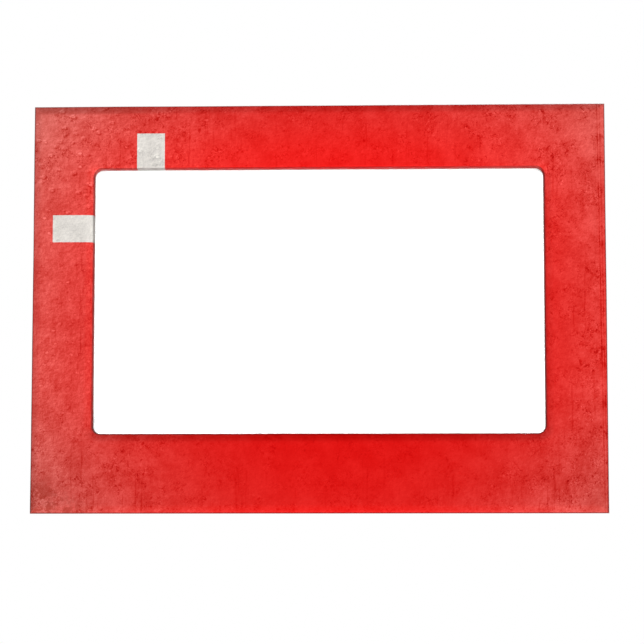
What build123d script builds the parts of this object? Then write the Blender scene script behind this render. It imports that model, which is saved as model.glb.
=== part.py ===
"""Magnetic photo frame for a fridge door: a padded, paper-wrapped front cover with a picture
opening, a clear window, a pocket open at the top for a 6 x 4 inch card, and a magnet back.

Millimetres, +Z up, front towards -Y. The origin is the middle of the magnets' back plane,
which lies on the door at Y = 0, so every layer is counted forward from there.
"""

import os

from build123d import *

# Picture card, a standard 6 x 4 inch print
card_width = 152.4
card_height = 101.6
card_thickness = 0.26
card_side_overlap = 6.35
card_end_overlap = 9.525

# Front cover: borders round the opening, and the soft rolled edge of its pad
side_border = 19.05
top_border = 19.95
bottom_border = 24.5
opening_corner_radius = 2.2
wrap_thickness = 0.25
pad_thickness = 2.4
pad_edge_radius = 2.3
front_board_thickness = 1.2
outer_turn_in = 11.0
opening_turn_in = 6.0
mitre_gap = 0.4

# Pocket: window, its tape, and the room that the card slides in
window_thickness = 0.25
window_inset = 0.5
window_tape_thickness = 0.1
window_tape_width = 4.5
window_tape_margin = 0.6
card_side_clearance = 0.8
card_face_clearance = 0.2

# Back: board with a thumb notch, its paper lining, and the magnet strips
back_inset = 2.5
back_board_thickness = 1.0
lining_thickness = 0.15
lining_inset = 2.0
notch_radius = 14.0
notch_mouth_radius = 3.0
magnet_length = 152.4
magnet_width = 12.7
magnet_thickness = 0.8
magnet_tape_thickness = 0.1
magnet_notch_margin = 3.0

# Outlines that follow from the card, its overlap and the borders
opening_width = card_width - 2 * card_side_overlap
opening_height = card_height - 2 * card_end_overlap
frame_width = opening_width + 2 * side_border
frame_height = opening_height + top_border + bottom_border
opening_z = (bottom_border - top_border) / 2
opening_right = opening_width / 2
opening_top = opening_z + opening_height / 2
opening_bottom = opening_z - opening_height / 2
back_width = frame_width - 2 * back_inset
back_height = frame_height - 2 * back_inset
back_top = back_height / 2
pocket_right = card_width / 2 + card_side_clearance
pocket_floor = opening_z - card_height / 2
pocket_depth = window_tape_thickness + window_thickness + card_thickness + 2 * card_face_clearance

# How far in front of the door each layer begins
magnet_tape_back = magnet_thickness
lining_back = magnet_tape_back + magnet_tape_thickness
back_board_back = lining_back + lining_thickness
pocket_back = back_board_back + back_board_thickness
card_back = pocket_back + card_face_clearance
cover_back = pocket_back + pocket_depth
window_tape_back = cover_back - window_tape_thickness
window_back = window_tape_back - window_thickness
front_board_back = cover_back + wrap_thickness
pad_back = front_board_back + front_board_thickness
cover_front = pad_back + pad_thickness + wrap_thickness


def layer(depth):
    """Upright plane that lies depth in front of the door and faces the viewer."""
    return Plane.XZ.offset(depth)


def cover_ring(inset):
    """Cover outline with its picture opening, drawn in by inset from the wrapped edges."""
    Rectangle(frame_width - 2 * inset, frame_height - 2 * inset)
    with Locations((0, opening_z)):
        RectangleRounded(
            opening_width + 2 * inset,
            opening_height + 2 * inset,
            opening_corner_radius + inset,
            mode=Mode.SUBTRACT,
        )


def front_edges(piece):
    """Edges round the front face, outside and at the opening."""
    return piece.faces().sort_by(Axis.Y)[0].edges()


def notched_sheet(inset):
    """Back outline with a thumb notch in its top edge, drawn in by inset from the board's edges."""
    Rectangle(back_width - 2 * inset, back_height - 2 * inset)
    with Locations((0, back_top)):
        Circle(notch_radius + inset, mode=Mode.SUBTRACT)


def notch_mouth(sketch):
    """The two corners where the thumb notch meets the top edge."""
    return sketch.vertices().group_by(Axis.Y)[-1].sort_by(Axis.X)[1:3]


os.makedirs("parts", exist_ok=True)

# Front board: grey board ring that stiffens the cover
with BuildPart() as front_board:
    with BuildSketch(layer(front_board_back)):
        cover_ring(wrap_thickness)
    extrude(amount=front_board_thickness)
front_board.part.label = "front_board"
export_step(front_board.part, "parts/front_board.step")

# Foam pad: soft ring on the board, with its front edges rounded outside and at the opening
with BuildPart() as foam_pad:
    with BuildSketch(layer(pad_back)):
        cover_ring(wrap_thickness)
    extrude(amount=pad_thickness)
    fillet(front_edges(foam_pad), pad_edge_radius)
foam_pad.part.label = "foam_pad"
export_step(foam_pad.part, "parts/foam_pad.step")

# Printed wrap: one printed sheet drawn over the pad's rolled edges and turned in behind the
# board. Its outer turn-ins meet in mitres, and those of the opening taper away from its corners.
with BuildPart() as printed_wrap:
    with BuildSketch(layer(cover_back)):
        cover_ring(0)
    extrude(amount=cover_front - cover_back)
    fillet(front_edges(printed_wrap), pad_edge_radius + wrap_thickness)
    with BuildSketch(layer(cover_back)):
        cover_ring(wrap_thickness)
    extrude(amount=wrap_thickness, mode=Mode.SUBTRACT)
    add(front_board.part, mode=Mode.SUBTRACT)
    add(foam_pad.part, mode=Mode.SUBTRACT)
    flap_base = (Align.CENTER, Align.MIN)
    outer_flaps = [
        ((0, -frame_height / 2), 0, frame_width),
        ((frame_width / 2, 0), 90, frame_height),
        ((0, frame_height / 2), 180, frame_width),
        ((-frame_width / 2, 0), 270, frame_height),
    ]
    opening_flaps = [
        ((0, opening_top), 0, opening_width),
        ((-opening_right, opening_z), 90, opening_height),
        ((0, opening_bottom), 180, opening_width),
        ((opening_right, opening_z), 270, opening_height),
    ]
    with BuildSketch(layer(cover_back)):
        for fold, turn, length in outer_flaps:
            with Locations(Location(fold, turn)):
                Trapezoid(length - 2 * mitre_gap, outer_turn_in, 45, align=flap_base)
        for fold, turn, length in opening_flaps:
            with Locations(Location(fold, turn)):
                Trapezoid(length - 2 * opening_corner_radius, opening_turn_in, 45, align=flap_base)
    extrude(amount=wrap_thickness)
printed_wrap.part.label = "printed_wrap"
export_step(printed_wrap.part, "parts/printed_wrap.step")

# Window: clear film behind the opening
with BuildPart() as window_sheet:
    with BuildSketch(layer(window_back)):
        with Locations((0, opening_z)):
            Rectangle(card_width - 2 * window_inset, card_height - 2 * window_inset)
    extrude(amount=window_thickness)
window_sheet.part.label = "window_sheet"
export_step(window_sheet.part, "parts/window_sheet.step")

# Window tape: double-sided strips that bond the window to the turn-ins round the opening
tape_offset = window_tape_margin + window_tape_width / 2
upright_tape = (window_tape_width, opening_height)
level_tape = (opening_width + 2 * (window_tape_margin + window_tape_width), window_tape_width)
window_tapes = {
    "window_tape_left": ((-opening_right - tape_offset, opening_z), upright_tape),
    "window_tape_right": ((opening_right + tape_offset, opening_z), upright_tape),
    "window_tape_top": ((0, opening_top + tape_offset), level_tape),
    "window_tape_bottom": ((0, opening_bottom - tape_offset), level_tape),
}
for name, (centre, size) in window_tapes.items():
    with BuildPart() as window_tape:
        with BuildSketch(layer(window_tape_back)):
            with Locations(centre):
                Rectangle(*size)
        extrude(amount=window_tape_thickness)
    window_tape.part.label = name
    export_step(window_tape.part, f"parts/{name}.step")

# Spacers: board strips that hold the two halves apart, with the pocket open at the top
spacer_width = back_width / 2 - pocket_right
spacer_centre_x = (back_width / 2 + pocket_right) / 2
side_spacer = (spacer_width, back_top - pocket_floor)
side_spacer_z = (back_top + pocket_floor) / 2
floor_spacer = (back_width, pocket_floor + back_top)
spacers = {
    "spacer_left": ((-spacer_centre_x, side_spacer_z), side_spacer),
    "spacer_right": ((spacer_centre_x, side_spacer_z), side_spacer),
    "spacer_bottom": ((0, (pocket_floor - back_top) / 2), floor_spacer),
}
for name, (centre, size) in spacers.items():
    with BuildPart() as spacer:
        with BuildSketch(layer(pocket_back)):
            with Locations(centre):
                Rectangle(*size)
        extrude(amount=pocket_depth)
    spacer.part.label = name
    export_step(spacer.part, f"parts/{name}.step")

# Photo card: blank insert that stands on the bottom spacer and lifts out through the top
with BuildPart() as photo_card:
    with BuildSketch(layer(card_back)):
        with Locations((0, opening_z)):
            Rectangle(card_width, card_height)
    extrude(amount=card_thickness)
photo_card.part.label = "photo_card"
export_step(photo_card.part, "parts/photo_card.step")

# Back board: closes the pocket, with a thumb notch to push the card up
with BuildPart() as back_board:
    with BuildSketch(layer(back_board_back)) as board_outline:
        notched_sheet(0)
        fillet(notch_mouth(board_outline), notch_mouth_radius)
    extrude(amount=back_board_thickness)
back_board.part.label = "back_board"
export_step(back_board.part, "parts/back_board.step")

# Back lining: paper pasted over the board, a little smaller all round
with BuildPart() as back_lining:
    with BuildSketch(layer(lining_back)) as lining_outline:
        notched_sheet(lining_inset)
        fillet(notch_mouth(lining_outline), notch_mouth_radius)
    extrude(amount=lining_thickness)
back_lining.part.label = "back_lining"
export_step(back_lining.part, "parts/back_lining.step")

# Magnet strips, each on its own tape, evenly spaced below the thumb notch
magnet_pitch = back_top - notch_radius - lining_inset - magnet_notch_margin - magnet_width / 2
magnet_rows = {"upper": magnet_pitch, "middle": 0, "lower": -magnet_pitch}
for row, row_z in magnet_rows.items():
    with BuildPart() as magnet_tape:
        with BuildSketch(layer(magnet_tape_back)):
            with Locations((0, row_z)):
                Rectangle(magnet_length, magnet_width)
        extrude(amount=magnet_tape_thickness)
    magnet_tape.part.label = f"magnet_tape_{row}"
    export_step(magnet_tape.part, f"parts/magnet_tape_{row}.step")

    with BuildPart() as magnet_strip:
        with BuildSketch(layer(0)):
            with Locations((0, row_z)):
                Rectangle(magnet_length, magnet_width)
        extrude(amount=magnet_thickness)
    magnet_strip.part.label = f"magnet_strip_{row}"
    export_step(magnet_strip.part, f"parts/magnet_strip_{row}.step")
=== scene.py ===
"""Magnetic photo frame: a padded cover in a printed red wrap, a clear window, a top-loading
pocket with a blank card, and a paper-lined board back that carries three magnet strips.
"""

import math

import bpy
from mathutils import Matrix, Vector


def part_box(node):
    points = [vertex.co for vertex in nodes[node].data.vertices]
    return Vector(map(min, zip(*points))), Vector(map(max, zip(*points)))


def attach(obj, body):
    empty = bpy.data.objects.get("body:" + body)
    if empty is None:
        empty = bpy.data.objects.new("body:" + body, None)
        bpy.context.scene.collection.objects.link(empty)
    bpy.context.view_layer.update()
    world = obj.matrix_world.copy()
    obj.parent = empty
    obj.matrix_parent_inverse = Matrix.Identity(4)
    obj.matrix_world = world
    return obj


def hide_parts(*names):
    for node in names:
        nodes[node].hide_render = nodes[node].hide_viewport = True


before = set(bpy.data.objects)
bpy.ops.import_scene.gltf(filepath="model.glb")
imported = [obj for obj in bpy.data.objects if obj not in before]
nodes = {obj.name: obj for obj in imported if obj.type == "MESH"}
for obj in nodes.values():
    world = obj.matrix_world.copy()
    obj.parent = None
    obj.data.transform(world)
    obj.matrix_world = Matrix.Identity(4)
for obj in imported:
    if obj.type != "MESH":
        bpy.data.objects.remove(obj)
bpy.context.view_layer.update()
MM = 0.001


# Front board: a ring of grey board, pressed from recycled paper, that stiffens the cover.
# The foam pad is glued to its front, and the printed wrap is turned in behind it.
class Wire:
    """A socket of a node tree. Sums on wires add Math nodes, and node() adds any other node."""

    def __init__(self, tree, socket=None):
        self.tree = tree
        self.socket = socket

    def feed(self, node, sockets):
        """Sets a node's sockets to values, or links them to wires."""
        for name, value in sockets.items():
            if isinstance(value, Wire):
                self.tree.links.new(value.socket, node.inputs[name])
            else:
                node.inputs[name].default_value = value

    def node(self, kind, settings, sockets, output=0):
        """Adds a node with its settings and sockets, and gives a wire from one of its outputs."""
        made = self.tree.nodes.new(kind)
        for name, value in settings.items():
            setattr(made, name, value)
        self.feed(made, sockets)
        return Wire(self.tree, made.outputs[output])

    def maths(self, operation, first, second=0.0):
        return self.node("ShaderNodeMath", {"operation": operation}, {0: first, 1: second})

    def __add__(self, other):
        return self.maths("ADD", self, other)

    def __radd__(self, other):
        return self.maths("ADD", other, self)

    def __sub__(self, other):
        return self.maths("SUBTRACT", self, other)

    def __rsub__(self, other):
        return self.maths("SUBTRACT", other, self)

    def __mul__(self, other):
        return self.maths("MULTIPLY", self, other)

    def __rmul__(self, other):
        return self.maths("MULTIPLY", other, self)

    def __truediv__(self, other):
        return self.maths("DIVIDE", self, other)

    def __rtruediv__(self, other):
        return self.maths("DIVIDE", other, self)

    def __pow__(self, other):
        return self.maths("POWER", self, other)

    def __gt__(self, other):
        return self.maths("GREATER_THAN", self, other)

    def __lt__(self, other):
        return self.maths("LESS_THAN", self, other)

    def __abs__(self):
        return self.maths("ABSOLUTE", self)

    def sin(self):
        return self.maths("SINE", self)

    def cos(self):
        return self.maths("COSINE", self)

    def rise(self, low, high, curve="SMOOTHSTEP"):
        """0 at low and before it, 1 at high and past it, and a smooth or straight climb between."""
        sockets = {"Value": self, "From Min": low, "From Max": high}
        return self.node("ShaderNodeMapRange", {"interpolation_type": curve}, sockets)

    def axes(self):
        """The three parts of a place."""
        split = self.node("ShaderNodeSeparateXYZ", {}, {0: self}).socket.node
        return [Wire(self.tree, socket) for socket in split.outputs]

    def stretch(self, x, y, z):
        """The same place on axes that are stretched, so that a pattern on them is drawn out."""
        return self.node("ShaderNodeVectorMath", {"operation": "MULTIPLY"}, {0: self, 1: (x, y, z)})

    def shift(self, x, y, z):
        """A place this far away."""
        return self.node("ShaderNodeVectorMath", {"operation": "ADD"}, {0: self, 1: (x, y, z)})

    def noise(self, scale, detail=2.0, roughness=0.5, distortion=0.0):
        """Cloudy noise at this place, from 0 to 1."""
        sockets = {"Vector": self, "Scale": scale, "Detail": detail, "Roughness": roughness}
        sockets["Distortion"] = distortion
        return self.node("ShaderNodeTexNoise", {}, sockets)

    def spots(self, scale):
        """Distance from the nearest of the points scattered at this scale."""
        return self.node("ShaderNodeTexVoronoi", {}, {"Vector": self, "Scale": scale})

    def blend(self, first, second):
        """Colour first turned into colour second by this share."""
        factor, colour_a, colour_b, colour_result = 0, 6, 7, 2
        sockets = {factor: self, colour_a: first, colour_b: second}
        return self.node("ShaderNodeMix", {"data_type": "RGBA"}, sockets, output=colour_result)

    def bump(self, depth):
        """A normal for a relief of this depth, in metres."""
        return self.node("ShaderNodeBump", {}, {"Distance": depth, "Height": self, "Strength": 1.0})


class Finish:
    """A new material with its main shader, and the place on the piece in millimetres."""

    def __init__(self, name):
        self.material = bpy.data.materials.new(name)
        self.material.use_nodes = True
        self.tree = self.material.node_tree
        self.shader = self.tree.nodes["Principled BSDF"]
        self.wire = Wire(self.tree)
        place = self.wire.node("ShaderNodeTexCoord", {}, {}, output="Object")
        scaled = {0: place, "Scale": 1 / MM}
        self.place = self.wire.node("ShaderNodeVectorMath", {"operation": "SCALE"}, scaled)

    def shade(self, **sockets):
        """Sets the main shader's sockets, and gives the material."""
        names = {name.replace("_", " "): value for name, value in sockets.items()}
        self.wire.feed(self.shader, names)
        return self.material


def grey_board_finish():
    """Recycled board: mottled warm grey with dark flecks and pale fibres, and plies on its cut edges."""
    board = Finish("grey_board")
    mottle = board.place.noise(0.8, detail=5, roughness=0.8)
    plies = board.place.stretch(0.1, 5.0, 0.1).noise(1.0, detail=3, roughness=0.6)

    def fibres(x, z):
        """Fibres that lie along the axis with the smaller of these two scales."""
        return board.place.stretch(x, 1.0, z).noise(1.1, detail=3, roughness=0.6, distortion=0.6)

    pale = fibres(0.22, 1.5).rise(0.60, 0.68) + fibres(1.5, 0.22).rise(0.62, 0.70)
    flecks = board.place.noise(0.9, detail=2, distortion=0.8).rise(0.66, 0.72) + mottle.rise(0.66, 0.74)
    tone = (mottle * 0.5 + plies * 0.5).rise(0.3, 0.7)
    colour = tone.blend((0.205, 0.19, 0.17, 1), (0.285, 0.265, 0.235, 1))
    colour = (pale * 0.30).blend(colour, (0.55, 0.52, 0.47, 1))
    colour = (flecks * 0.55).blend(colour, (0.085, 0.075, 0.068, 1))
    relief = mottle * 0.4 + pale * 0.2 + plies * 0.4
    return board.shade(
        Base_Color=colour,
        Roughness=0.82 + mottle * 0.14,
        Specular_IOR_Level=0.2,
        Normal=relief.bump(0.015 * MM),
    )


def dress(material, *names):
    """Gives CAD nodes their finish."""
    for name in names:
        nodes[name].data.materials.clear()
        nodes[name].data.materials.append(material)


grey_board = grey_board_finish()
dress(grey_board, "front_board")


# Foam pad: a ring of soft closed-cell foam on the front board, rolled over at its outer edge
# and at the opening. The wrap is drawn tight over it and hides it.
def new_rule(name, inputs):
    """An empty Geometry Nodes tree with these inputs, and a wire from each of them."""
    tree = bpy.data.node_groups.new(name, "GeometryNodeTree")
    for label, kind in inputs.items():
        tree.interface.new_socket(label, in_out="INPUT", socket_type=kind)
    tree.interface.new_socket("Geometry", in_out="OUTPUT", socket_type="NodeSocketGeometry")
    entry = tree.nodes.new("NodeGroupInput")
    return tree, {label: Wire(tree, entry.outputs[label]) for label in inputs}


def end_rule(tree, shape, material):
    """Closes a tree with plain geometry in its material."""
    wire = Wire(tree)
    whole = wire.node("GeometryNodeRealizeInstances", {}, {"Geometry": shape})
    painted = wire.node("GeometryNodeSetMaterial", {}, {"Geometry": whole, "Material": material})
    wire.feed(tree.nodes.new("NodeGroupOutput"), {"Geometry": painted})


def make_piece(name, tree, sizes, sheet=0.0):
    """Runs a tree with its sizes and keeps a plain mesh, which a sheet's thickness turns into a wall."""
    sharp_edge = math.radians(45)
    piece = bpy.data.objects.new(name, bpy.data.meshes.new(name))
    bpy.context.scene.collection.objects.link(piece)
    rule = piece.modifiers.new("rule", "NODES")
    rule.node_group = tree
    for item in tree.interface.items_tree:
        if item.in_out == "INPUT":
            rule[item.identifier] = sizes[item.name]
    if sheet:
        wall = piece.modifiers.new("sheet", "SOLIDIFY")
        wall.thickness = sheet
        wall.offset = -1
    graph = bpy.context.evaluated_depsgraph_get()
    mesh = bpy.data.meshes.new_from_object(piece.evaluated_get(graph))
    piece.modifiers.clear()
    piece.data = mesh
    mesh.name = name
    mesh.shade_smooth()
    mesh.set_sharp_from_angle(angle=sharp_edge)
    return piece


# Mesh of the ring: steps round a quadrant, and along the section from flap to flap
side_steps, corner_steps, end_steps = 32, 45, 56
quadrant_steps = side_steps + corner_steps + end_steps
section_steps = [4, 3, 4, 14, 22, 14, 4, 3, 6]
mitre_step = 1 / corner_steps
mitre_start = 0.5 - mitre_step / 2
mitre_end = 0.5 + mitre_step / 2


def way_round(around):
    """Each quadrant climbs half a side, turns the corner and crosses half an end: how far each of
    these has been gone, and whether it is on the right (1 or -1) and in the upper half (1 or -1).
    """
    turn = (1 - around) * 4
    in_quadrant = turn.maths("PINGPONG", turn, 1.0)
    corner_start = side_steps / quadrant_steps
    corner_end = (side_steps + corner_steps) / quadrant_steps
    climb = in_quadrant.rise(0.0, corner_start, "LINEAR")
    bend = in_quadrant.rise(corner_start, corner_end, "LINEAR")
    cross = in_quadrant.rise(1.0, corner_end, "LINEAR")
    right = 1 - 2 * ((turn > 1.0) * (turn < 3.0))
    upper = 1 - 2 * (turn > 2.0)
    return climb, bend, cross, right, upper


def way_along(along):
    """How far each stretch of the section has been gone, from the opening's flap to the outer one."""
    total = sum(section_steps)
    ways = []
    start = 0
    for steps in section_steps:
        stop = start + steps
        ways.append(along.rise(start / total, stop / total, "LINEAR"))
        start = stop
    return ways


def cut_flaps(ring, given, bend, inner_turn, outer_turn):
    """The ring with its flaps open at the outer mitres and cut away at the opening's corners, and with
    the edges that meet joined.
    """
    mitres = (abs(bend - 0.5) < mitre_step / 2) * (outer_turn > 0.0)
    notches = (bend > 0.0) * (bend < 1.0) * (inner_turn < 1.0)
    waste = {"Geometry": ring, "Selection": (mitres + notches) * (given["Mitre"] > 0.0)}
    ring = ring.node("GeometryNodeDeleteGeometry", {"domain": "FACE"}, waste)
    return ring.node("GeometryNodeMergeByDistance", {}, {"Geometry": ring, "Distance": 0.004 * MM})


def loosen(ring, given):
    """The ring with slack: its front is a little uneven, as laid by hand, and behind it stays flat."""
    here = ring.node("GeometryNodeInputPosition", {}, {})
    cloud = {"Vector": here, "Scale": 1 / given["Slack Length"], "Detail": 2.0, "W": given["Seed"]}
    waves = ring.node("ShaderNodeTexNoise", {"noise_dimensions": "4D"}, cloud)
    fold_top = given["Back"] + given["Fold Radius"]
    shoulder_foot = given["Front"] - given["Roll Depth"] - given["Shoulder Depth"]
    loose = (0 - here.axes()[1]).rise(fold_top, shoulder_foot, "LINEAR")
    swell = given["Slack"] * (waves * 2 - 1) * loose
    outward = ring.node("GeometryNodeInputNormal", {}, {})
    offset = ring.node("ShaderNodeVectorMath", {"operation": "SCALE"}, {0: outward, "Scale": swell})
    return ring.node("GeometryNodeSetPosition", {}, {"Geometry": ring, "Offset": offset})


def cover_rule():
    """A section that is carried round the picture opening: turned in behind, up the opening's wall,
    over a tight shoulder and a long shallow roll, across the face, and down and in again outside.
    """
    labels = ["Cover Width", "Cover Height", "Opening Width", "Opening Height", "Opening Rise"]
    labels += ["Corner Radius", "Roll Width", "Roll Depth", "Shoulder Width", "Shoulder Depth"]
    labels += ["Opening Ease", "Foot Ease", "Fold Radius", "Back", "Front", "Inner Turn", "Outer Turn"]
    labels += ["Mitre", "Slack", "Slack Length", "Seed"]
    inputs = {label: "NodeSocketFloat" for label in labels}
    inputs["Material"] = "NodeSocketMaterial"
    tree, given = new_rule("cover_ring", inputs)
    wire = Wire(tree)
    counts = {"Vertices X": 4 * quadrant_steps + 1, "Vertices Y": sum(section_steps) + 1}
    grid = wire.node("GeometryNodeMeshGrid", {}, counts)
    around, along, _ = Wire(tree, grid.socket.node.outputs["UV Map"]).axes()
    climb, bend, cross, right, upper = way_round(around)
    inner_turn, inner_fold, inner_wall, inner_roll, face, *outer = way_along(along)
    outer_roll, outer_wall, outer_fold, outer_turn = outer

    # Depth: the roll falls away slowly from the face and drops at its shoulder. Where the sheet is
    # drawn tightest the roll is eased: at the foot of the cover, and along the top of the opening,
    # whose shoulder is tighter too.
    quarter = math.pi / 2
    crown_curve = 1.5
    shoulder_curve = 2.2
    tight_shoulder = 0.4
    fold = given["Fold Radius"]
    end = bend.rise(0.0, 1.0)
    top_roll = 1 - end * (upper > 0.0) * given["Opening Ease"]
    foot_roll = 1 - end * (upper < 0.0) * given["Foot Ease"]
    inner_crown = given["Roll Depth"] * top_roll
    inner_shoulder = given["Shoulder Depth"] * (tight_shoulder + (1 - tight_shoulder) * top_roll)
    outer_crown = given["Roll Depth"] * foot_roll
    outer_shoulder = given["Shoulder Depth"]
    wall = given["Front"] - given["Back"] - fold
    inner_sheer = wall - inner_crown - inner_shoulder
    outer_sheer = wall - outer_crown - outer_shoulder

    def fall(inward, crown, shoulder):
        """Drop from the face at this share of the roll's width, counted inwards from the edge."""
        near = (inward * given["Roll Width"]).rise(given["Shoulder Width"], 0.0, "LINEAR")
        return crown * (1 - inward) ** crown_curve + shoulder * near ** shoulder_curve

    inner_way = inner_roll ** 2
    outer_way = (1 - outer_roll) ** 2
    rising = fold * (1 - (inner_fold * quarter).cos()) + inner_sheer * inner_wall
    rising = rising + inner_crown + inner_shoulder - fall(inner_way, inner_crown, inner_shoulder)
    falling = fold * (outer_fold * quarter).sin() + outer_sheer * outer_wall
    falling = falling + fall(outer_way, outer_crown, outer_shoulder)
    depth = given["Back"] + rising - falling

    # Way across: set in from the opening and from the outer edge, and shared out between the two.
    # Behind, both are counted from the folds, so that flaps of half the way each meet.
    in_front = 1 - (inner_turn < 1.0) - (outer_turn > 0.0)
    inner_set = fold - in_front * (fold * (inner_fold * quarter).sin() - given["Roll Width"] * inner_way)
    outer_set = fold - in_front * (fold * (outer_fold * quarter).cos() - given["Roll Width"] * outer_way)
    share = given["Inner Turn"] * (1 - inner_turn) + face - given["Outer Turn"] * outer_turn ** 2

    # Rounded opening and square outer edge, both measured from the opening's centre. The corner's
    # middle step is the mitre: outside it has no width, and behind it is cut open.
    straight_x = given["Opening Width"] / 2 - given["Corner Radius"]
    straight_z = given["Opening Height"] / 2 - given["Corner Radius"]
    reach_x = given["Cover Width"] / 2 - straight_x
    reach_z = given["Cover Height"] / 2 - upper * given["Opening Rise"] - straight_z
    round_corner = given["Corner Radius"] + inner_set
    inner_x = straight_x * cross + round_corner * (bend * quarter).cos()
    inner_z = straight_z * climb + round_corner * (bend * quarter).sin()
    outer_x = straight_x * cross + (reach_x - outer_set) * bend.rise(1.0, mitre_end, "LINEAR")
    outer_z = straight_z * climb + (reach_z - outer_set) * bend.rise(0.0, mitre_start, "LINEAR")
    cut = given["Mitre"] * (outer_turn > 0.0)
    side_cut = cut * bend.rise(mitre_start - mitre_step, mitre_start, "LINEAR") * (bend < 0.5)
    end_cut = cut * bend.rise(mitre_end + mitre_step, mitre_end, "LINEAR") * (bend > 0.5)
    x = right * (inner_x + (outer_x - inner_x) * share - end_cut)
    z = given["Opening Rise"] + upper * (inner_z + (outer_z - inner_z) * share - side_cut)
    place = wire.node("ShaderNodeCombineXYZ", {}, {"X": x, "Y": 0 - depth, "Z": z})
    ring = wire.node("GeometryNodeSetPosition", {}, {"Geometry": grid, "Position": place})
    inset = given["Roll Width"] * inner_way * outer_way - outer_sheer * outer_wall
    marked = {"Geometry": ring, "Name": "inset", "Value": inset}
    ring = wire.node("GeometryNodeStoreNamedAttribute", {}, marked)
    ring = cut_flaps(ring, given, bend, inner_turn, outer_turn)
    end_rule(tree, loosen(ring, given), given["Material"])
    return tree


def foam_finish():
    """Soft white foam: fine closed cells that show as pits, with painted shade darkening each pit."""
    foam = Finish("pad_foam")
    cells = foam.place.spots(2.6)
    cloud = foam.place.noise(0.2, detail=3)
    # Painted shade: each cell's pit is darker towards its middle
    colour = (cloud * 0.6 + cells * 0.4).blend((0.62, 0.60, 0.55, 1), (0.80, 0.79, 0.76, 1))
    relief = cells.bump(0.12 * MM)
    return foam.shade(Base_Color=colour, Roughness=0.95, Specular_IOR_Level=0.15, Normal=relief)


cover_ring = cover_rule()
wrap_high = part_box("printed_wrap")[1]
pad_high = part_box("foam_pad")[1]
wrap_thickness = wrap_high.x - pad_high.x
tape_low, tape_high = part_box("window_tape_left")
tape_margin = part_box("window_tape_top")[0].z - tape_high.z
opening_width = -2 * (tape_high.x + tape_margin)
opening_height = tape_high.z - tape_low.z
opening_rise = (tape_high.z + tape_low.z) / 2
opening_corner = 2.5 * MM
roll_width = 2.6 * MM


def cover_sizes(node, inset, own):
    """Sizes of a ring in a node's box, this far under the wrap's outer face, with those of its own."""
    low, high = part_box(node)
    sizes = {
        "Cover Width": high.x - low.x,
        "Cover Height": high.z - low.z,
        "Opening Width": opening_width + 2 * inset,
        "Opening Height": opening_height + 2 * inset,
        "Opening Rise": opening_rise,
        "Corner Radius": opening_corner + inset,
        "Roll Width": roll_width - inset,
        "Roll Depth": 0.85 * MM,
        "Shoulder Width": 0.6 * MM,
        "Shoulder Depth": 1.0 * MM,
        "Opening Ease": 1.0,
        "Foot Ease": 0.45,
        "Back": -high.y,
        "Front": -low.y,
        "Slack": 0.10 * MM,
        "Slack Length": 34 * MM,
        "Seed": 3.0,
    }
    return sizes | own


pad_own = {
    "Fold Radius": 0.02 * MM,
    "Inner Turn": 0.5,
    "Outer Turn": 0.5,
    "Mitre": 0.0,
    "Material": foam_finish(),
}
pad = make_piece("pad", cover_ring, cover_sizes("foam_pad", wrap_thickness, pad_own))
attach(pad, "frame")
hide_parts("foam_pad")


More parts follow.
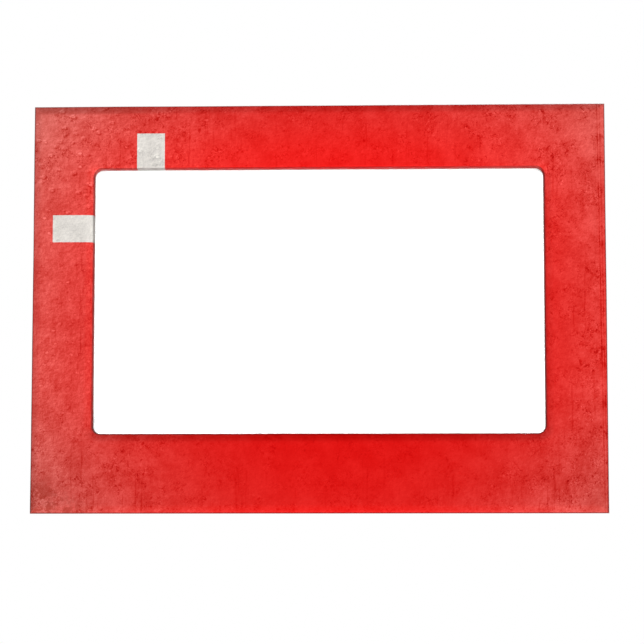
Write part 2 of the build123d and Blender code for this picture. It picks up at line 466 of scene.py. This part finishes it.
# Printed wrap: one sheet of printed, matt-laminated film, drawn over the pad's rolled edges and
# glued down behind the board. The print is a worn red ground with the two ends of a pale cross.
class PrintedFilm(Finish):
    """The wrap's print with its painted light and shade, layer by layer. Across and up run from -1 to 1
    over the cover.
    """

    def __init__(self):
        super().__init__("printed_film")
        self.half_width = wrap_high.x / MM
        self.half_height = wrap_high.z / MM
        self.x, _, self.z = self.place.axes()
        self.across = self.x / self.half_width
        self.up = self.z / self.half_height
        wash_x, wash_width = 7.6, 80
        wash_z, wash_height = -9.1, 84
        wash_curve = 1.77
        from_wash = ((self.x - wash_x) / wash_width) ** 2 + ((self.z - wash_z) / wash_height) ** 2
        self.fade = from_wash ** wash_curve
        self.grain = self.place.noise(1.0, detail=4, roughness=0.9) - 0.5
        self.cloud = self.place.noise(0.14, detail=6, roughness=0.7).rise(0.34, 0.66) - 0.5

    def red_ground_and_light(self):
        """Saturated red, washed out to a dusty pink towards the corners, and painted light that brightens
        it upwards.
        """
        # Painted light: the red is brighter upwards, a little darker at the very top, and darker low at
        # the sides
        middle = 0.665 + 0.175 * self.up.rise(-0.2, 0.6) - 0.12 * self.up.rise(0.72, 1.0)
        sides = 0.705 - 0.15 * self.up.rise(-0.25, -1.0)
        red = middle + (sides - middle) * self.across ** 2
        ink_and_light = {"Red": red, "Green": 0.0025 + 0.040 * self.fade, "Blue": 0.0018 + 0.0335 * self.fade}
        return self.wire.node("ShaderNodeCombineColor", {}, ink_and_light)

    def cross_ends(self):
        """Where the two bars show: they run up to the opening, and their edges are a little rough."""
        upright_x, upright_half, upright_top, upright_foot = -52.16, 4.32, 54.60, 36.0
        level_z, level_half, level_left, level_right = 24.76, 4.24, -82.59, -62.0
        soft = 0.06
        ragged = (self.place.noise(1.4, detail=3) - 0.5) * 0.15
        upright = (abs(self.x - upright_x) + ragged).rise(upright_half + soft, upright_half - soft)
        upright = upright * (self.z + ragged).rise(upright_top + soft, upright_top - soft)
        level = (abs(self.z - level_z) + ragged).rise(level_half + soft, level_half - soft)
        level = level * (self.x + ragged).rise(level_left - soft, level_left + soft)
        return upright * (self.z > upright_foot) + level * (self.x < level_right)

    def emboss(self, scale, step):
        """Light and shade of a fine relief that is lit from the upper left."""
        height = self.place.noise(scale, detail=5, roughness=0.72)
        return height - self.place.shift(step, 0, -step).noise(scale, detail=5, roughness=0.72)

    def stains(self):
        """Patches of dark pits and hair cracks, with pale flecks among them, and upright runs."""
        patches = self.place.noise(0.16, detail=5, roughness=0.7).rise(0.46, 0.58)
        patches = patches * (1 - 0.75 * self.across.rise(-0.5, -0.8) * abs(self.up).rise(0.7, 0.4))
        pits = self.place.noise(0.85, detail=3, roughness=0.6, distortion=1.3).rise(0.54, 0.66)
        flecks = self.place.noise(1.2, detail=3, roughness=0.6, distortion=1.0).rise(0.58, 0.68)
        cracks = self.place.noise(0.6, detail=4, roughness=0.6, distortion=1.8)
        cracks = abs(cracks - 0.5).rise(0.045, 0.0)
        runs = self.place.stretch(1.2, 1.2, 0.06).noise(1.0, detail=3, roughness=0.6).rise(0.58, 0.70)
        runs = runs * self.place.noise(0.05, detail=2).rise(0.42, 0.58)
        spotted = pits * 0.11 + cracks * 0.08 - flecks * 0.07
        return spotted * (0.08 + 0.92 * patches) + runs * 0.055

    def scratches(self):
        """Two broken lines down the right edge."""
        wander = (self.place.stretch(0.0, 0.0, 0.05).noise(1.0, detail=2) - 0.5) * 0.6
        broken = 0.35 + 0.65 * self.place.noise(0.16, detail=4, roughness=0.7).rise(0.44, 0.60)
        lines = 0
        for from_edge in (1.1, 1.9):
            line = abs(self.x - self.half_width + from_edge + 0.01 * self.z + wander)
            lines = lines + line.rise(0.28, 0.05) * broken
        return lines

    def blisters(self, place):
        """Distance from the middle of the nearest blister, with a ragged edge."""
        ragged = place.noise(0.3, detail=5, roughness=0.75, distortion=0.6) * 0.9
        return place.stretch(0.75, 1.0, 1.1).spots(0.36) + ragged

    def rubbing(self, cross):
        """The upper left is rubbed most: raised blisters with pale chips, dark rings and coarse grain."""
        rubbed = self.across.rise(0.0, -0.75) * self.up.rise(-0.9, 0.1)
        blisters = self.blisters(self.place)
        shaded = self.blisters(self.place.shift(0.35, 0, -0.35))
        clusters = 0.3 + 0.7 * self.place.noise(0.09, detail=3).rise(0.42, 0.56)
        raised = (blisters.rise(0.50, 0.80) - shaded.rise(0.50, 0.80)) * self.up.rise(0.0, 0.7) * clusters
        chips = blisters.rise(0.60, 0.48) * (0.09 + 0.05 * cross)
        rings = abs(blisters - 0.64).rise(0.04, 0.0)
        return (self.emboss(0.45, 0.4) * 0.10 + raised * 0.11 + chips - rings * 0.05) * rubbed

    def worn(self, ink_and_light, cross):
        """The ink, with its painted light, and its wear, which is added to display values: to the eye it
        takes as much from dark ink as from pale.
        """
        display_gamma = 2.2
        coarse = self.across.rise(-0.75, -0.95) * self.up.rise(0.2, -0.4)
        wear = self.grain * 0.17 + self.emboss(0.9, 0.16) * (0.17 + 0.13 * coarse) + self.cloud * 0.065
        wear = wear + self.rubbing(cross) - self.stains() - self.scratches() * 0.10
        wear = wear * (0.42 + 0.58 * self.fade.rise(0.2, 1.0, "LINEAR"))
        spread = cross.blend((1.10, 1.36, 1.36, 1), (1.10, 1.10, 1.06, 1))
        shown = self.wire.node("ShaderNodeGamma", {}, {"Color": ink_and_light, "Gamma": 1 / display_gamma})
        added = {0: wear, 1: spread, 2: shown}
        shown = self.wire.node("ShaderNodeVectorMath", {"operation": "MULTIPLY_ADD"}, added)
        return self.wire.node("ShaderNodeGamma", {}, {"Color": shown, "Gamma": display_gamma})

    def grime_and_top_shade(self):
        """Brown dirt that has settled in the lower left corner, and painted shade over the top edge's
        roll on the left.
        """
        corner = self.place.noise(0.33, detail=5, roughness=0.75).rise(0.45, 0.55)
        corner = corner * (self.across * self.up).rise(0.72, 0.90)
        # Painted shade: a brown band over the top edge's roll, on the left
        top_edge_shade = self.z.rise(self.half_height - 3.1, self.half_height - 2.2)
        top_edge_shade = top_edge_shade * self.across.rise(-0.4, -0.75)
        return (corner * 0.8 + top_edge_shade * 0.3) * self.across.rise(0.4, -0.4)

    def edge_shade(self):
        """Painted shade: near-black on the shoulders and the opening's wall, and less down the outer
        side.
        """
        inset = self.wire.node("ShaderNodeAttribute", {"attribute_name": "inset"}, {}, output="Fac") / MM
        return inset.rise(0.62, 0.12) ** 2 * (0.62 - 0.34 * inset.rise(-0.05, -1.2))

    def paint(self):
        """The finished material: the printed ink with painted light, its wear, then dirt and painted
        shade, under a matt laminate.
        """
        cross = self.cross_ends()
        # The red ground carries painted light as well as the print
        ink_and_light = cross.blend(self.red_ground_and_light(), (0.725, 0.690, 0.645, 1))
        colour = self.worn(ink_and_light, cross)
        # Brown dirt in the lower left corner, and painted shade along the top edge on the left
        colour = self.grime_and_top_shade().blend(colour, (0.36, 0.034, 0.022, 1))
        # Painted shade darkens the edges and the walls towards near-black
        colour = self.edge_shade().blend(colour, (0.02, 0.008, 0.008, 1))
        relief = self.grain + self.cloud * 0.5
        return self.shade(
            Base_Color=colour,
            Roughness=0.52 + self.grain * 0.4,
            Specular_IOR_Level=0.03,
            Normal=relief.bump(0.02 * MM),
        )


wrap_own = {
    "Fold Radius": 0.3 * MM,
    "Inner Turn": 0.3,
    "Outer Turn": 0.55,
    "Mitre": 0.4 * MM,
    "Material": PrintedFilm().paint(),
}
wrap = make_piece("wrap", cover_ring, cover_sizes("printed_wrap", 0.0, wrap_own), sheet=wrap_thickness)
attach(wrap, "frame")
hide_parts("printed_wrap")


# Window: a sheet of clear polyester film behind the opening, as smooth as it left the roll.
# Strips of double-sided tape bond it to the wrap's turned-in edges.
def clear_film_finish():
    """Clear film: it mirrors and bends light as glass does, and lets lamplight straight through."""
    clear = Finish("clear_film")
    waves = clear.place.noise(0.03, detail=1)
    clear.shade(
        Base_Color=(0.985, 0.99, 0.99, 1),
        Roughness=0.03,
        IOR=1.5,
        Transmission_Weight=1.0,
        Normal=waves.bump(0.05 * MM),
    )
    lamp_ray = clear.wire.node("ShaderNodeLightPath", {}, {}, output="Is Shadow Ray")
    through = clear.wire.node("ShaderNodeBsdfTransparent", {}, {"Color": (0.96, 0.965, 0.965, 1)})
    film = Wire(clear.tree, clear.shader.outputs["BSDF"])
    mixed = clear.wire.node("ShaderNodeMixShader", {}, {0: lamp_ray, 1: film, 2: through})
    clear.wire.feed(clear.tree.nodes["Material Output"], {"Surface": mixed})
    return clear.material


def tape_finish():
    """Double-sided tape: cloudy white adhesive on a tissue of fine fibres."""
    tape = Finish("tape")
    tissue = tape.place.stretch(1.0, 1.0, 0.4).noise(1.8, detail=5, roughness=0.7, distortion=1.5)
    colour = tissue.blend((0.66, 0.64, 0.56, 1), (0.86, 0.85, 0.80, 1))
    return tape.shade(Base_Color=colour, Roughness=0.35 + tissue * 0.3, Normal=tissue.bump(0.02 * MM))


tape = tape_finish()
dress(clear_film_finish(), "window_sheet")
dress(tape, *[f"window_tape_{side}" for side in ("left", "right", "top", "bottom")])


# Spacers: strips of the same grey board at the foot and the two sides, glued between the cover
# and the back board. They leave a pocket that is open at the top.
dress(grey_board, "spacer_left", "spacer_right", "spacer_bottom")


# Back board: grey board that closes the pocket, die-cut with a thumb notch at the top.
# Its edge stands a little inside the cover's.
dress(grey_board, "back_board")


# Back lining: plain white paper, cut with a larger notch and pasted on the back board.
# It leaves a narrow margin of the board bare all round.
def lining_finish():
    """Uncoated paper: soft fibres and a clouded tone, soiled round the notch and along its edges."""
    paper = Finish("lining_paper")
    fibres = paper.place.stretch(1.0, 1.0, 1.8).noise(1.1, detail=6, roughness=0.75, distortion=1.0)
    cloud = paper.place.noise(0.06, detail=4)
    tone = fibres * 0.5 + cloud * 0.5
    colour = tone.rise(0.3, 0.7).blend((0.70, 0.68, 0.63, 1), (0.80, 0.785, 0.745, 1))

    # Thumb marks: grey smears round the notch, and a little dirt along the cut edges
    x, _, z = paper.place.axes()
    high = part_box("back_lining")[1] / MM
    edge_width = 3.0
    from_notch = (x ** 2 + (z - high.z) ** 2) ** 0.5
    smears = paper.place.noise(0.15, detail=5, roughness=0.6, distortion=0.5).rise(0.40, 0.66)
    thumbed = from_notch.rise(38.0, 15.0) * smears
    to_edge = abs(x).rise(high.x - edge_width, high.x) + abs(z).rise(high.z - edge_width, high.z)
    edged = to_edge * paper.place.noise(0.5, detail=4, roughness=0.7).rise(0.40, 0.70)
    colour = (thumbed * 0.27 + edged * 0.22).blend(colour, (0.33, 0.30, 0.255, 1))
    relief = (fibres * 0.6 + cloud * 1.2).bump(0.03 * MM)
    return paper.shade(Base_Color=colour, Roughness=0.9, Specular_IOR_Level=0.2, Normal=relief)


dress(lining_finish(), "back_lining")


# Magnets: three strips of flexible magnet, ferrite powder in rubber, rolled to an even thickness
# and slit to width, each stuck to the lining by its own adhesive tape.
rows = ("upper", "middle", "lower")
strip_low, strip_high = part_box("magnet_strip_middle")
strip_length = strip_high.x - strip_low.x
strip_width = strip_high.z - strip_low.z
strip_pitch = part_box("magnet_strip_upper")[0].z - strip_low.z


def strip_rule():
    """Strips with softened edges, one above the other."""
    edge_steps = 3
    labels = ["Length", "Width", "Thickness", "Edge Radius", "Pitch", "Back"]
    inputs = {label: "NodeSocketFloat" for label in labels}
    inputs["Count"] = "NodeSocketInt"
    inputs["Material"] = "NodeSocketMaterial"
    tree, given = new_rule("magnet_rows", inputs)
    wire = Wire(tree)
    outline = {"Width": given["Thickness"], "Height": given["Width"]}
    section = wire.node("GeometryNodeCurvePrimitiveQuadrilateral", {}, outline)
    rounding = {"Curve": section, "Radius": given["Edge Radius"], "Count": edge_steps}
    section = wire.node("GeometryNodeFilletCurve", {"mode": "POLY"}, rounding)
    half = given["Length"] / 2
    start = wire.node("ShaderNodeCombineXYZ", {}, {"X": 0 - half})
    end = wire.node("ShaderNodeCombineXYZ", {}, {"X": half})
    line = wire.node("GeometryNodeCurvePrimitiveLine", {}, {"Start": start, "End": end})
    swept = {"Curve": line, "Profile Curve": section, "Fill Caps": True}
    strip = wire.node("GeometryNodeCurveToMesh", {}, swept)
    middle = 0 - given["Back"] - given["Thickness"] / 2
    lowest = wire.node("ShaderNodeCombineXYZ", {}, {"Y": middle, "Z": 0 - given["Pitch"]})
    step = wire.node("ShaderNodeCombineXYZ", {}, {"Z": given["Pitch"]})
    row = {"Count": given["Count"], "Start Location": lowest, "Offset": step}
    points = wire.node("GeometryNodeMeshLine", {}, row)
    strips = wire.node("GeometryNodeInstanceOnPoints", {}, {"Points": points, "Instance": strip})
    end_rule(tree, strips, given["Material"])
    return tree


def magnet_finish():
    """Ferrite rubber: brown-black, with fine rolling lines along it and a dust of pale specks."""
    rubber = Finish("magnet_rubber")
    lines = rubber.place.stretch(0.02, 1.0, 4.0).noise(1.6, detail=4, roughness=0.7)
    dust = rubber.place.noise(2.4, detail=5, roughness=0.8)
    cloud = rubber.place.noise(0.09, detail=3)
    tone = lines * 0.5 + cloud * 0.5
    colour = tone.rise(0.3, 0.7).blend((0.018, 0.015, 0.014, 1), (0.046, 0.040, 0.037, 1))
    colour = (dust.rise(0.66, 0.78) * 0.5).blend(colour, (0.13, 0.12, 0.11, 1))

    # Rubbing: broken pale edges, most at the ends, and upright streaks from sliding on a door
    x, _, z = rubber.place.axes()
    pitch = strip_pitch / MM
    half_length = strip_length / 2 / MM
    half_width = strip_width / 2 / MM
    from_middle = abs(z - pitch * rubber.wire.maths("ROUND", z / pitch))
    to_edge = from_middle.rise(half_width - 0.9, half_width) + abs(x).rise(half_length - 1.4, half_length)
    broken = 0.15 + 0.65 * rubber.place.noise(0.35, detail=5, roughness=0.75).rise(0.42, 0.60)
    streaks = rubber.place.stretch(0.9, 1.0, 0.05).noise(1.0, detail=4, roughness=0.65).rise(0.52, 0.72)
    scuffs = streaks * rubber.place.noise(0.06, detail=3).rise(0.45, 0.62)
    colour = (to_edge * broken + scuffs * 0.35).blend(colour, (0.115, 0.108, 0.100, 1))
    return rubber.shade(
        Base_Color=colour,
        Roughness=0.55 + lines * 0.25,
        Specular_IOR_Level=0.35,
        Normal=lines.bump(0.03 * MM),
    )


strip_sizes = {
    "Length": strip_length,
    "Width": strip_width,
    "Thickness": strip_high.y - strip_low.y,
    "Edge Radius": 0.12 * MM,
    "Pitch": strip_pitch,
    "Back": -strip_high.y,
    "Count": len(rows),
    "Material": magnet_finish(),
}
magnets = make_piece("magnets", strip_rule(), strip_sizes)
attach(magnets, "frame")
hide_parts(*[f"magnet_strip_{row}" for row in rows])
dress(tape, *[f"magnet_tape_{row}" for row in rows])


# Card: a blank white insert of photo stock, cut to a standard print's size. It slides down into
# the pocket behind the window, and stands there on the bottom spacer.
def card_finish():
    """Matt white stock with a fine tooth, and edges that handling has aged."""
    card = Finish("card_stock")
    tooth = card.place.noise(2.2, detail=4, roughness=0.6)
    cloud = card.place.noise(0.05, detail=2)
    colour = (tooth * 0.4 + cloud * 0.6).blend((0.93, 0.93, 0.925, 1), (0.96, 0.96, 0.955, 1))

    # Handled edges: yellowed out of sight behind the cover's borders, and rubbed along the rim
    x, _, z = card.place.axes()
    low, high = (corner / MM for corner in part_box("photo_card"))
    half_width = high.x
    half_height = (high.z - low.z) / 2
    from_middle = abs(z - (low.z + high.z) / 2)
    rim = 0.8
    to_edge = abs(x).rise(half_width - 5.5, half_width) + from_middle.rise(half_height - 8.0, half_height)
    to_rim = abs(x).rise(half_width - rim, half_width) + from_middle.rise(half_height - rim, half_height)
    yellowed = 0.12 + 0.22 * card.place.noise(0.05, detail=4, roughness=0.6)
    colour = (to_edge * yellowed + to_rim * 0.12).blend(colour, (0.50, 0.455, 0.375, 1))
    return card.shade(
        Base_Color=colour,
        Roughness=0.5 + tooth * 0.1,
        Specular_IOR_Level=0.4,
        Normal=tooth.bump(0.004 * MM),
    )


dress(card_finish(), "photo_card")


# Studio: a pale floor well below the frame, which hangs as on a door, under soft even light.
# A broad lamp in front does most of the work, one from low on the right shapes the edges, and one
# from behind lights the back.
def white_room():
    """A world that lights the frame gently, and looks white itself and in reflections."""
    world = bpy.data.worlds.new("studio")
    bpy.context.scene.world = world
    world.use_nodes = True
    wire = Wire(world.node_tree)
    rays = wire.node("ShaderNodeLightPath", {}, {}).socket.node
    seen = 0
    for kind in ("Camera", "Glossy", "Transmission"):
        seen = seen + Wire(world.node_tree, rays.outputs[f"Is {kind} Ray"])
    seen = wire.maths("MINIMUM", seen, 1.0)
    room_light = 0.26
    strength = room_light + seen * (1 - room_light)
    wire.feed(world.node_tree.nodes["Background"], {"Color": (1, 1, 1, 1), "Strength": strength})


def pale_floor():
    """A floor that keeps the frame's shadow and fades to white away from it."""
    floor_drop = 1.4
    reach = 4.0
    floor = bpy.data.objects.new("floor", bpy.data.meshes.new("floor"))
    corners = [(-reach, -reach), (reach, -reach), (reach, reach), (-reach, reach)]
    floor.data.from_pydata([(x, y, -floor_drop) for x, y in corners], [], [(0, 1, 2, 3)])
    pale = Finish("floor")
    x, y, _ = pale.place.axes()
    far = ((x ** 2 + y ** 2) ** 0.5 * MM).rise(0.6, 3.4)
    grain = pale.place.noise(0.02, detail=3)
    pale.shade(Base_Color=grain.blend((0.86, 0.86, 0.86, 1), (0.88, 0.88, 0.88, 1)), Roughness=0.9)
    glow = pale.wire.node("ShaderNodeEmission", {}, {"Color": (1, 1, 1, 1), "Strength": 1.0})
    camera_ray = pale.wire.node("ShaderNodeLightPath", {}, {}, output="Is Camera Ray")
    lit = Wire(pale.tree, pale.shader.outputs["BSDF"])
    white = camera_ray * (0.6 + 0.4 * far)
    seen = pale.wire.node("ShaderNodeMixShader", {}, {0: white, 1: lit, 2: glow})
    pale.wire.feed(pale.tree.nodes["Material Output"], {"Surface": seen})
    floor.data.materials.append(pale.material)
    bpy.context.scene.collection.objects.link(floor)


def pointed(place, aim):
    """The turn that points a lamp or a camera from its place to its aim."""
    return (aim - place).to_track_quat("-Z", "Y").to_euler()


def soft_lamp(name, place, width, watts):
    """A round soft lamp, out of the camera's sight, that is turned to the frame."""
    lamp = bpy.data.objects.new(name, bpy.data.lights.new(name, "AREA"))
    lamp.data.shape = "DISK"
    lamp.data.size = width
    lamp.data.energy = watts
    lamp.location = place
    lamp.rotation_euler = pointed(Vector(place), Vector((0, 0, 0)))
    lamp.visible_camera = False
    bpy.context.scene.collection.objects.link(lamp)


def photo_camera():
    """A long lens that stands a little to the right of the frame and below it."""
    camera = bpy.data.objects.new("camera", bpy.data.cameras.new("camera"))
    place = Vector((25.8, -743.2, -81.2)) * MM
    aim = Vector((1.15, -7.2, -4.68)) * MM
    image_width = 644
    focal_pixels = 2400
    camera.data.sensor_width = 36.0
    camera.data.lens = camera.data.sensor_width * focal_pixels / image_width
    camera.data.clip_start = 0.01
    camera.location = place
    camera.rotation_euler = pointed(place, aim)
    bpy.context.scene.collection.objects.link(camera)
    bpy.context.scene.camera = camera


white_room()
pale_floor()
soft_lamp("front_lamp", (-0.06, -1.34, 0.04), width=0.9, watts=9.6)
soft_lamp("low_lamp", (0.36, -0.36, -0.95), width=0.5, watts=12.0)
soft_lamp("back_lamp", (0.40, 1.00, 0.80), width=0.9, watts=13.0)
photo_camera()
bpy.context.scene.view_settings.view_transform = "Standard"
